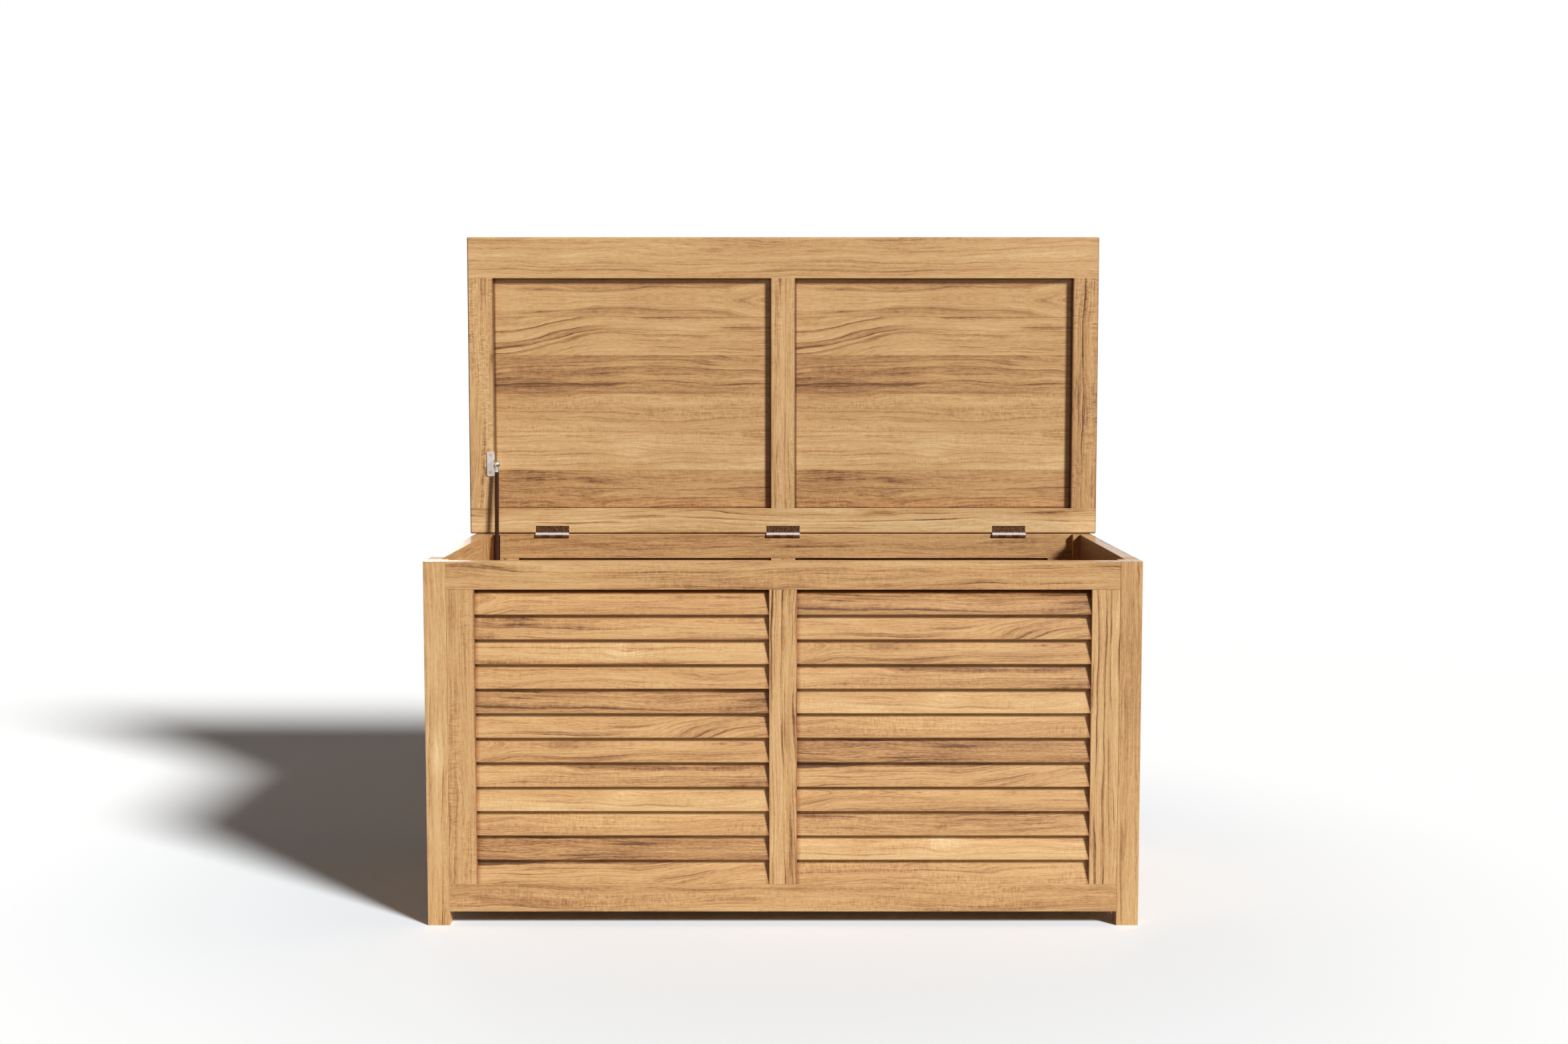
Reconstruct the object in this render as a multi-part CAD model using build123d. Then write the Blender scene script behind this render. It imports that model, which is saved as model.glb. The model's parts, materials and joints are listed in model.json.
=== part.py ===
from build123d import *
import os
from math import asin, cos, radians, sin, sqrt

# A teak storage bench: four posts, louvred walls, a framed lid on three butt hinges and one
# telescoping stay. Millimetres. The model is laid out with the front face on Y = 0 and the floor
# on Z = 0, in the rest pose, which has the lid standing open.

# Chest
chest_width = 1220.0
chest_depth = 578.0
chest_height = 628.0
post_size = 38.0
rail_height = 48.0
rail_thick = 24.0
stile_width = 48.0
side_thick = 24.0
foot_clear = 24.0
ease = 1.0

# Joinery
tenon_length = 18.0
tenon_thick = 9.0
tenon_shoulder = 8.0
tongue_depth = 10.0

# Louvres
slats_per_bay = 12
slat_thick = 8.0
slat_lean = 15.0
slat_overlap = 5.0
slat_setback = 0.5
slat_round = 1.0
housing_depth = 8.0

# Floor of the chest
ledger_size = 20.0
floor_thick = 12.0
floor_count = 12
floor_gap = 4.0
floor_end_gap = 1.0

# Lid
lid_thick = 26.0
lid_side_overhang = 10.0
lid_front_overhang = 31.0
lid_front_rail_width = 80.0
lid_rear_rail_width = 50.0
lid_stile_width = 50.0
lid_mullion_width = 48.0
lid_round = 3.0
lid_gap = 0.8
panel_recess = 13.0
panel_thick = 10.0
boards_per_bay = 6
board_gap = 0.2
board_vee = 0.3
groove_depth = 8.0

# Butt hinges
left_hinge_from_end = 163.0
right_hinge_from_end = 173.0
hinge_length = 66.0
hinge_inset = 4.0
barrel_offset = 3.0
knuckle_count = 5
knuckle_radius = 5.5
knuckle_gap = 0.3
barrel_room = 0.5
pin_radius = 2.4
pin_clearance = 0.05
leaf_width = 18.5
leaf_thick = 2.0
leaf_screw_steps = (-25.5, -9.5, 9.5, 25.5)
leaf_screw_rows = (4.0, 9.0)

# Countersunk screws
screw_head_radius = 3.4
screw_head_depth = 1.8
screw_shank_radius = 1.6
screw_length = 13.0

# Telescoping stay
stay_reach = 141.4
stay_lid_offset = 10.0
stay_forward = 30.0
stay_lane = 6.0
ball_radius = 4.0
ball_clearance = 0.05
stud_radius = 2.5
socket_radius = 6.0
socket_near = 2.6
neck_radius = 3.4
upper_neck = 15.5
lower_neck = 12.0
rod_radius = 4.0
tube_radius = 6.5
tube_bore = 5.0
tube_length = 129.0
tube_base = 3.0
gland_length = 6.0
piston_length = 3.0
slide_clearance = 0.05
stay_end_gap = 0.5
plate_width = 15.0
plate_height = 48.0
plate_thick = 2.0
plate_corner = 2.5
plate_screw_spread = 34.0
plate_shift = 4.0
tab_depth = 19.0
tab_height = 16.0

# Worked out from the sizes above
half_width = chest_width / 2
post_inner = half_width - post_size
side_inner = half_width - side_thick
stile_inner = post_inner - stile_width
mullion_half = stile_width / 2
top_rail_low = chest_height - rail_height
low_rail_top = foot_clear + rail_height
rear_inner = chest_depth - rail_thick
rear_post_front = chest_depth - post_size
side_stile_low = post_size + stile_width
side_stile_high = rear_post_front - stile_width
slat_pitch = (top_rail_low - low_rail_top) / slats_per_bay
lid_face = rear_inner + hinge_inset
lid_foot = chest_height + lid_gap
axis_y = lid_face - barrel_offset
axis_z = lid_foot - barrel_offset
lid_half = half_width + lid_side_overhang
lid_length = axis_y - barrel_offset + lid_front_overhang
lid_back = lid_face + lid_thick
lid_stile_inner = lid_half - lid_stile_width
lid_rear_top = lid_foot + lid_rear_rail_width
lid_front_low = lid_foot + lid_length - lid_front_rail_width
panel_front = lid_face + panel_recess
overall_depth = max(lid_back, chest_depth)
to_origin = Pos(0, -overall_depth / 2, 0)


# Helpers
def block(x, y, z):
    """A box between pairs of coordinates."""
    size = (x[1] - x[0], y[1] - y[0], z[1] - z[0])
    middle = ((x[0] + x[1]) / 2, (y[0] + y[1]) / 2, (z[0] + z[1]) / 2)
    return Pos(*middle) * Box(*size)


def timber(x, y, z, grain, radius=ease):
    """A planed length of wood with its long edges softened."""
    return fillet(block(x, y, z).edges().filter_by(grain), radius)


def mirrored(shape):
    """The same piece on the other side of the bench."""
    return mirror(shape, Plane.YZ)


def group(shapes):
    """Separate solids of one kind, kept as one node."""
    return Compound(children=[solid for shape in shapes for solid in shape.solids()])


def rod_between(start, end, radius):
    """A round bar from one point to another."""
    run = Vector(*end) - Vector(*start)
    plane = Plane(origin=start, z_dir=run)
    return extrude(plane * Circle(radius), run.length)


def screw(head, into):
    """A countersunk screw whose flat head lies at a point and points into the wood."""
    top = Plane(origin=head, z_dir=into)
    cone = Pos(0, 0, screw_head_depth / 2) * Cone(screw_head_radius, screw_shank_radius, screw_head_depth)
    shank = Pos(0, 0, screw_length / 2) * Cylinder(screw_shank_radius, screw_length)
    return top * (cone + shank)


parts = {}

# Louvres: one slat, leaning with its lower edge out, then a stack of them trimmed to the bay
lean_out = sin(radians(slat_lean))
lean_up = cos(radians(slat_lean))
slat_width = (slat_pitch + slat_overlap) / lean_up


def slat(length):
    """One slat with its lower front edge on the X axis and its face turned to -Y."""
    low = (0, 0)
    high = (slat_width * lean_out, slat_width * lean_up)
    back = (slat_thick * lean_up, -slat_thick * lean_out)
    outline = Polyline(low, high, (high[0] + back[0], high[1] + back[1]), back, close=True)
    face = make_face(outline)
    face = fillet(face.vertices(), slat_round)
    return extrude(Plane.YZ.offset(-length / 2) * face, length)


def louvre_bay(opening):
    """The slats of one bay, centred on X, with their ends let into the uprights."""
    length = opening + 2 * housing_depth
    blank = slat(length)
    room = block((-length, length), (0, rail_thick), (low_rail_top, top_rail_low))
    places = [Pos(0, slat_setback, low_rail_top + slat_pitch * row) for row in range(slats_per_bay)]
    return group([place * blank & room for place in places])


front_opening = stile_inner - mullion_half
front_middle = (stile_inner + mullion_half) / 2
side_opening = side_stile_high - side_stile_low
side_middle = (side_stile_high + side_stile_low) / 2
front_bay = louvre_bay(front_opening)
side_bay = louvre_bay(side_opening)
turn_back = Pos(0, chest_depth, 0) * Rot(0, 0, 180)
parts["front_left_louvres"] = Pos(-front_middle, 0, 0) * front_bay
parts["front_right_louvres"] = Pos(front_middle, 0, 0) * front_bay
parts["rear_left_louvres"] = turn_back * Pos(front_middle, 0, 0) * front_bay
parts["rear_right_louvres"] = turn_back * Pos(-front_middle, 0, 0) * front_bay
parts["left_side_louvres"] = Pos(-half_width, side_middle, 0) * Rot(0, 0, -90) * side_bay
parts["right_side_louvres"] = Pos(half_width, side_middle, 0) * Rot(0, 0, 90) * side_bay

# Front and rear frames: rails run from post to post, with tenons, and uprights stand between them
tenon_front = (rail_thick - tenon_thick) / 2
tenon_y = (tenon_front, tenon_front + tenon_thick)
rail_reach = post_inner + tenon_length


def long_rail(z):
    """A front rail with a tenon on each end."""
    body = timber((-post_inner, post_inner), (0, rail_thick), z, Axis.X)
    tongue_z = (z[0] + tenon_shoulder, z[1] - tenon_shoulder)
    return body + block((-rail_reach, rail_reach), tenon_y, tongue_z)


def upright(middle):
    """A front stile or mullion with a stub tenon on each end."""
    x = (middle - stile_width / 2, middle + stile_width / 2)
    body = timber(x, (0, rail_thick), (low_rail_top, top_rail_low), Axis.Z)
    tongue_x = (x[0] + tenon_shoulder, x[1] - tenon_shoulder)
    return body + block(tongue_x, tenon_y, (low_rail_top - tenon_length, top_rail_low + tenon_length))


stile_middle = (post_inner + stile_inner) / 2
uprights = {"left_stile": -stile_middle, "mullion": 0.0, "right_stile": stile_middle}
top_rail = long_rail((top_rail_low, chest_height))
bottom_rail = long_rail((foot_clear, low_rail_top))
for middle in uprights.values():
    top_rail -= upright(middle)
    bottom_rail -= upright(middle)
parts["front_top_rail"] = top_rail
parts["front_bottom_rail"] = bottom_rail
parts["rear_top_rail"] = turn_back * top_rail
parts["rear_bottom_rail"] = turn_back * bottom_rail
front_slats = group([parts["front_left_louvres"], parts["front_right_louvres"]])
for name, middle in uprights.items():
    housed = upright(middle) - front_slats
    parts["front_" + name] = housed
    parts["rear_" + name] = mirrored(turn_back * housed)

# Side frames: uprights run to the rim, with the rails between them
side_x = (side_inner, half_width)
side_tenon_x = (side_inner + (side_thick - tenon_thick) / 2, half_width - (side_thick - tenon_thick) / 2)
side_tongue_z = (foot_clear + rail_height, chest_height - rail_height)


def side_upright(y, tongue_y):
    """A side stile with a long tongue for the post beside it."""
    body = timber(side_x, y, (foot_clear, chest_height), Axis.Z)
    return body + block(side_tenon_x, tongue_y, side_tongue_z)


def side_rail(z):
    """A side rail with a tenon on each end."""
    body = timber(side_x, (side_stile_low, side_stile_high), z, Axis.Y)
    tenon_z = (z[0] + tenon_shoulder, z[1] - tenon_shoulder)
    return body + block(side_tenon_x, (side_stile_low - tenon_length, side_stile_high + tenon_length), tenon_z)


side_top_rail = side_rail((top_rail_low, chest_height))
side_bottom_rail = side_rail((foot_clear, low_rail_top))
side_front_stile = side_upright((post_size, side_stile_low), (post_size - tongue_depth, post_size))
rear_tongue_y = (rear_post_front, rear_post_front + tongue_depth)
side_rear_stile = side_upright((side_stile_high, rear_post_front), rear_tongue_y)
side_front_stile -= [side_top_rail, side_bottom_rail, parts["right_side_louvres"]]
side_rear_stile -= [side_top_rail, side_bottom_rail, parts["right_side_louvres"]]
side_frame = {
    "side_top_rail": side_top_rail,
    "side_bottom_rail": side_bottom_rail,
    "side_front_stile": side_front_stile,
    "side_rear_stile": side_rear_stile,
}
for name, piece in side_frame.items():
    parts["right_" + name] = piece
    parts["left_" + name] = mirrored(piece)

# Corner posts, mortised for the rails and the side frames
post_x = (post_inner, half_width)
front_post = timber(post_x, (0, post_size), (0, chest_height), Axis.Z)
rear_post = timber(post_x, (rear_post_front, chest_depth), (0, chest_height), Axis.Z)
front_post -= [top_rail, bottom_rail, side_front_stile]
rear_post -= [parts["rear_top_rail"], parts["rear_bottom_rail"], side_rear_stile]
parts["front_right_post"] = front_post
parts["front_left_post"] = mirrored(front_post)
parts["rear_right_post"] = rear_post
parts["rear_left_post"] = mirrored(rear_post)

# Floor: boards from front to back on two ledgers
floor_top = low_rail_top
ledger_z = (floor_top - floor_thick - ledger_size, floor_top - floor_thick)
ledger_x = (-post_inner, post_inner)
parts["front_floor_ledger"] = block(ledger_x, (rail_thick, rail_thick + ledger_size), ledger_z)
parts["rear_floor_ledger"] = block(ledger_x, (rear_inner - ledger_size, rear_inner), ledger_z)
floor_pitch = 2 * post_inner / floor_count
floor_y = (rail_thick + floor_end_gap, rear_inner - floor_end_gap)
floor_boards = []
for index in range(floor_count):
    left = -post_inner + index * floor_pitch + floor_gap / 2
    right = left + floor_pitch - floor_gap
    floor_boards.append(timber((left, right), floor_y, (floor_top - floor_thick, floor_top), Axis.Y))
parts["floor_boards"] = group(floor_boards)

# Lid, standing open: its underside faces the front and its hinged edge is at the bottom
lid_y = (lid_face, lid_back)
lid_tenon_front = lid_face + (lid_thick - tenon_thick) / 2
lid_tenon_y = (lid_tenon_front, lid_tenon_front + tenon_thick)
panel_y = (panel_front, panel_front + panel_thick)
groove_z = (lid_rear_top - groove_depth, lid_front_low + groove_depth)
stile_groove_x = (lid_stile_inner, lid_stile_inner + groove_depth)
board_x = (lid_mullion_width / 2 - groove_depth, lid_stile_inner + groove_depth)


def lid_rail(z):
    """A lid rail over the whole width, rounded along its outer edges, ends and corners."""
    body = block((-lid_half, lid_half), lid_y, z)
    outer_face = body.faces().sort_by(Axis.Z)[0 if z[0] == lid_foot else -1]
    return fillet(outer_face.edges() + body.edges().filter_by(Axis.Z), lid_round)


def lid_upright(x, outer):
    """A lid stile or mullion between the rails, with a stub tenon on each end."""
    body = block(x, lid_y, (lid_rear_top, lid_front_low))
    if outer:
        body = fillet(body.edges().filter_by(Axis.Z).sort_by(Axis.X)[-2:], lid_round)
    tongue_x = (x[0] + tenon_shoulder, x[1] - tenon_shoulder)
    tenon_z = (lid_rear_top - tenon_length, lid_front_low + tenon_length)
    return body + block(tongue_x, lid_tenon_y, tenon_z)


lid_stile = lid_upright((lid_stile_inner, lid_half), True)
lid_mullion = lid_upright((-lid_mullion_width / 2, lid_mullion_width / 2), False)
lid_front_rail = lid_rail((lid_front_low, lid_foot + lid_length))
lid_rear_rail = lid_rail((lid_foot, lid_rear_top))
panel_room = block((-board_x[1], board_x[1]), panel_y, groove_z)
mullion_slot = block((board_x[0], lid_mullion_width / 2), panel_y, groove_z)
joint_pieces = [lid_stile, mirrored(lid_stile), lid_mullion]
lid_front_rail -= [panel_room, *joint_pieces]
lid_rear_rail -= [panel_room, *joint_pieces]
lid_stile -= block(stile_groove_x, panel_y, groove_z)
lid_mullion -= [mullion_slot, mirrored(mullion_slot)]

board_pitch = (lid_front_low - lid_rear_top) / boards_per_bay
boards = []
for index in range(boards_per_bay):
    low = lid_rear_top + index * board_pitch + board_gap / 2
    high = low + board_pitch - board_gap
    low = groove_z[0] if index == 0 else low
    high = groove_z[1] if index == boards_per_bay - 1 else high
    boards.append(chamfer(block(board_x, panel_y, (low, high)).edges().filter_by(Axis.X), board_vee))
parts["lid_right_boards"] = group([board - [lid_stile, lid_mullion] for board in boards])
parts["lid_left_boards"] = group([mirrored(board) for board in parts["lid_right_boards"].solids()])
parts["lid_mullion"] = lid_mullion
parts["lid_right_stile"] = lid_stile
parts["lid_left_stile"] = mirrored(lid_stile)

# Butt hinges: the upper leaf is let into the lid's underside, the lower leaf into the rear rail's top,
# and the barrel stands clear of both, in front of the lid and below its edge
hinge_places = {"left": left_hinge_from_end - lid_half, "middle": 0.0, "right": lid_half - right_hinge_from_end}
knuckle_length = hinge_length / knuckle_count
leaf_start = knuckle_radius + barrel_room
bore_radius = pin_radius + pin_clearance
hinge_x = (-hinge_length / 2, hinge_length / 2)


def along_axis(x, radius):
    """A round bar on the hinge line."""
    return rod_between((x[0], axis_y, axis_z), (x[1], axis_y, axis_z), radius)


def upper_plate(x, start):
    """A stretch of the lid's leaf."""
    return block(x, (lid_face, lid_face + leaf_thick), (axis_z + start, axis_z + leaf_width))


def lower_plate(x, start):
    """A stretch of the rail's leaf."""
    return block(x, (axis_y + start, axis_y + leaf_width), (chest_height - leaf_thick, chest_height))


def hinge_leaf(plate, first):
    """A leaf with every second knuckle of the barrel."""
    leaf = plate(hinge_x, leaf_start)
    for index in range(first, knuckle_count, 2):
        left = hinge_x[0] + index * knuckle_length
        span = (left + knuckle_gap / 2, left + knuckle_length - knuckle_gap / 2)
        leaf += plate(span, 0)
        leaf += along_axis(span, knuckle_radius)
    return leaf - along_axis(hinge_x, bore_radius)


def leaf_screws(upper):
    """The four staggered screws of one leaf."""
    screws = []
    for index, step in enumerate(leaf_screw_steps):
        reach = leaf_width - leaf_screw_rows[index % 2]
        if upper:
            screws.append(screw((step, lid_face, axis_z + reach), (0, 1, 0)))
        else:
            screws.append(screw((step, axis_y + reach, chest_height), (0, 0, -1)))
    return screws


upper_screws = leaf_screws(True)
lower_screws = leaf_screws(False)
upper_leaf = hinge_leaf(upper_plate, 1) - upper_screws
lower_leaf = hinge_leaf(lower_plate, 0) - lower_screws
barrel_notch = along_axis(hinge_x, knuckle_radius + barrel_room)
upper_recess = upper_plate(hinge_x, 0)
lower_recess = lower_plate(hinge_x, 0)
rear_top_rail = parts["rear_top_rail"]
for side, x in hinge_places.items():
    place = Pos(x, 0, 0)
    parts[side + "_hinge_upper_leaf"] = place * upper_leaf
    parts[side + "_hinge_lower_leaf"] = place * lower_leaf
    lid_rear_rail -= [place * barrel_notch, place * upper_recess, *[place * one for one in upper_screws]]
    rear_top_rail -= [place * barrel_notch, place * lower_recess, *[place * one for one in lower_screws]]
parts["rear_top_rail"] = rear_top_rail
parts["lid_rear_rail"] = lid_rear_rail
parts["lid_front_rail"] = lid_front_rail
pin = along_axis(hinge_x, pin_radius)
parts["hinge_pins"] = group([Pos(x, 0, 0) * pin for x in hinge_places.values()])
parts["hinge_lid_screws"] = group([Pos(x, 0, 0) * one for x in hinge_places.values() for one in upper_screws])
parts["hinge_rail_screws"] = group([Pos(x, 0, 0) * one for x in hinge_places.values() for one in lower_screws])

# Telescoping stay on the left: both balls are equally far from the hinge line, so the stay always
# turns by half the lid's angle
stay_x = -lid_stile_inner + stay_lane
upper_rise = sqrt(stay_reach**2 - stay_lid_offset**2)
lower_drop = sqrt(stay_reach**2 - stay_forward**2)
upper_ball = Vector(stay_x, axis_y - stay_lid_offset, axis_z + upper_rise)
lower_ball = Vector(stay_x, axis_y - stay_forward, axis_z - lower_drop)
stay_run = upper_ball - lower_ball
open_length = stay_run.length
stay_line = stay_run.normalized()
half_angle = asin(open_length / 2 / stay_reach)
closed_length = 2 * stay_reach * sin(half_angle - radians(45))
tube_top = lower_neck + tube_length
piston_top = tube_top - gland_length - stay_end_gap
rod_top = open_length - upper_neck


def on_stay(distance):
    """A point on the stay's line, measured from the lower ball."""
    return tuple(lower_ball + stay_line * distance)


def stay_bar(start, end, radius):
    """A round stretch of the stay."""
    return rod_between(on_stay(start), on_stay(end), radius)


def ball_socket(centre, neck_start, neck_end):
    """A round snap socket that opens towards the side wall, with its neck along the stay."""
    cup = Pos(centre) * Sphere(socket_radius) + stay_bar(neck_start, neck_end, neck_radius)
    mouth_x = (centre.X - 2 * socket_radius, centre.X - socket_near)
    mouth_y = (centre.Y - socket_radius, centre.Y + socket_radius)
    mouth = block(mouth_x, mouth_y, (centre.Z - socket_radius, centre.Z + socket_radius))
    return cup - mouth - Pos(centre) * Sphere(ball_radius + ball_clearance)


neck_root = (ball_radius + socket_radius) / 2
parts["stay_upper_socket"] = ball_socket(upper_ball, rod_top, open_length - neck_root)
parts["stay_lower_socket"] = ball_socket(lower_ball, neck_root, lower_neck)
parts["stay_rod"] = stay_bar(piston_top, rod_top, rod_radius)
parts["stay_piston"] = stay_bar(piston_top - piston_length, piston_top, tube_bore - slide_clearance)
tube = stay_bar(lower_neck, tube_top, tube_radius)
parts["stay_tube"] = tube - stay_bar(lower_neck + tube_base, tube_top, tube_bore)
gland = stay_bar(tube_top - gland_length, tube_top, tube_bore)
parts["stay_gland"] = gland - stay_bar(tube_top - gland_length, tube_top, rod_radius + slide_clearance)

# Brackets that carry the stay's balls
lid_plate_x = (-lid_stile_inner - plate_width, -lid_stile_inner)
lid_plate_z = (upper_ball.Z - plate_height / 2, upper_ball.Z + plate_height / 2)
lid_plate = block(lid_plate_x, (lid_face - plate_thick, lid_face), lid_plate_z)
lid_plate = fillet(lid_plate.edges().filter_by(Axis.Y), plate_corner)
tab_z = (upper_ball.Z - tab_height / 2, upper_ball.Z + tab_height / 2)
tab_x = (lid_plate_x[1] - plate_thick, lid_plate_x[1])
lid_plate += block(tab_x, (lid_face - tab_depth, lid_face - plate_thick), tab_z)
wall_plate_y = (lower_ball.Y - plate_shift - plate_width / 2, lower_ball.Y - plate_shift + plate_width / 2)
wall_plate_z = (lower_ball.Z - plate_height / 2, lower_ball.Z + plate_height / 2)
wall_plate_x = (-side_inner, -side_inner + plate_thick)
wall_plate = block(wall_plate_x, wall_plate_y, wall_plate_z)
wall_plate = fillet(wall_plate.edges().filter_by(Axis.X), plate_corner)


def ball_stud(start_x, centre):
    """A ball on its stud, standing out from a bracket along X."""
    stud = rod_between((start_x, centre.Y, centre.Z), tuple(centre), stud_radius)
    return stud + Pos(centre) * Sphere(ball_radius)


parts["stay_lid_ball"] = ball_stud(tab_x[1], upper_ball)
parts["stay_wall_ball"] = ball_stud(wall_plate_x[1], lower_ball)
lid_plate_middle = (lid_plate_x[0] + lid_plate_x[1] - plate_thick) / 2
wall_plate_middle = (wall_plate_y[0] + wall_plate_y[1]) / 2
lid_screws = []
wall_screws = []
for step in (-plate_screw_spread / 2, plate_screw_spread / 2):
    lid_screws.append(screw((lid_plate_middle, lid_face - plate_thick, upper_ball.Z + step), (0, 1, 0)))
    wall_screws.append(screw((wall_plate_x[1], wall_plate_middle, lower_ball.Z + step), (-1, 0, 0)))
parts["stay_lid_plate"] = lid_plate - lid_screws
parts["stay_wall_plate"] = wall_plate - wall_screws
parts["stay_lid_screws"] = group(lid_screws)
parts["stay_wall_screws"] = group(wall_screws)
parts["lid_left_stile"] = parts["lid_left_stile"] - lid_screws
parts["left_side_rear_stile"] = parts["left_side_rear_stile"] - wall_screws

# One file for each piece, with the origin on the floor under the middle of the bench
os.makedirs("parts", exist_ok=True)
for name, shape in parts.items():
    export_step(to_origin * shape, "parts/" + name + ".step")
print("nodes", len(parts))
print("hinge line", round(axis_y - overall_depth / 2, 3), round(axis_z, 3))
print("stay open", round(open_length, 2), "closed", round(closed_length, 2))
for name, ball in {"upper ball": upper_ball, "lower ball": lower_ball}.items():
    print(name, round(ball.X, 3), round(ball.Y - overall_depth / 2, 3), round(ball.Z, 3))
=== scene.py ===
import bpy
import json
from math import cos, pi, radians, sin, tan
from mathutils import Matrix, Vector


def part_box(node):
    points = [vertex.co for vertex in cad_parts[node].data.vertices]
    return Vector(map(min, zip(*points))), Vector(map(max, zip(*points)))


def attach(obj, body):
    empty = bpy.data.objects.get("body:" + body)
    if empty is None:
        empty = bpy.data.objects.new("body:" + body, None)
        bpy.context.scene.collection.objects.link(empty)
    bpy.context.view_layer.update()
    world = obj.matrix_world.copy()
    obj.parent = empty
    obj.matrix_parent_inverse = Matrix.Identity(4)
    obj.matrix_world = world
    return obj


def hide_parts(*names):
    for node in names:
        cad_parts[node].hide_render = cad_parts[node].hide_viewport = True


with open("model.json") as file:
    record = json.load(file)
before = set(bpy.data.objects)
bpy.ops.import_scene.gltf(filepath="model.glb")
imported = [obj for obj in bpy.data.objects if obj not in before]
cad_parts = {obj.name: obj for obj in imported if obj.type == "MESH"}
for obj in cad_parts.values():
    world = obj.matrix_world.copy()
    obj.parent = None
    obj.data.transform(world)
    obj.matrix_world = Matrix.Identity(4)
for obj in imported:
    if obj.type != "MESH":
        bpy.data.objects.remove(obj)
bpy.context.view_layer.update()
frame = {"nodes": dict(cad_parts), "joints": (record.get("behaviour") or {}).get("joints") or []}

# Corner posts: four square lengths of solid teak, planed and left with an oiled satin surface.
# The rails and the side frames are mortised into them, and their lower ends are the feet.
# All the wood of the bench shares the one teak pattern that is laid out here.


def place_node(tree, kind, inputs=None, **settings):
    """Adds a node; inputs are plain values or the sockets that feed it."""
    made = tree.nodes.new(kind)
    for name, value in settings.items():
        setattr(made, name, value)
    for key, value in (inputs or {}).items():
        if isinstance(value, bpy.types.NodeSocket):
            tree.links.new(value, made.inputs[key])
        else:
            made.inputs[key].default_value = value
    return made


def maths(tree, operation, first, second=0.0, third=0.0):
    """One step of arithmetic on numbers."""
    inputs = {0: first, 1: second, 2: third}
    return place_node(tree, "ShaderNodeMath", inputs, operation=operation).outputs[0]


def vector_maths(tree, operation, first, second):
    """One step of arithmetic on places or colours."""
    inputs = {0: first, 1: second}
    return place_node(tree, "ShaderNodeVectorMath", inputs, operation=operation).outputs[0]


def own_place(tree):
    """Where a point lies in the bench's own frame."""
    return place_node(tree, "ShaderNodeTexCoord").outputs["Object"]


def stretched_noise(tree, point, stretch, detail, roughness=0.5, distortion=0.0):
    """Noise whose spots are drawn out along the grain."""
    inputs = {"Vector": vector_maths(tree, "MULTIPLY", point, stretch), "Scale": 1.0}
    inputs.update({"Detail": detail, "Roughness": roughness, "Distortion": distortion})
    return place_node(tree, "ShaderNodeTexNoise", inputs).outputs[0]


def band(tree, value, low, high):
    """How far a value lies between two limits, eased at both ends."""
    inputs = {"Value": value, "From Min": low, "From Max": high}
    return place_node(tree, "ShaderNodeMapRange", inputs, interpolation_type="SMOOTHSTEP").outputs[0]


def srgb(red, green, blue):
    """A colour from its 0 to 255 values."""
    linear = []
    for part in (red, green, blue):
        share = part / 255
        linear.append(share / 12.92 if share <= 0.04045 else ((share + 0.055) / 1.055) ** 2.4)
    return (*linear, 1.0)


def colour_steps(tree, value, steps, interpolation="LINEAR"):
    """A row of colours along a value."""
    ramp = place_node(tree, "ShaderNodeValToRGB", {0: value})
    ramp.color_ramp.interpolation = interpolation
    while len(ramp.color_ramp.elements) < len(steps):
        ramp.color_ramp.elements.new(1.0)
    for element, (position, colour) in zip(ramp.color_ramp.elements, steps):
        element.position = position
        element.color = colour
    return ramp.outputs[0]


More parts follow.
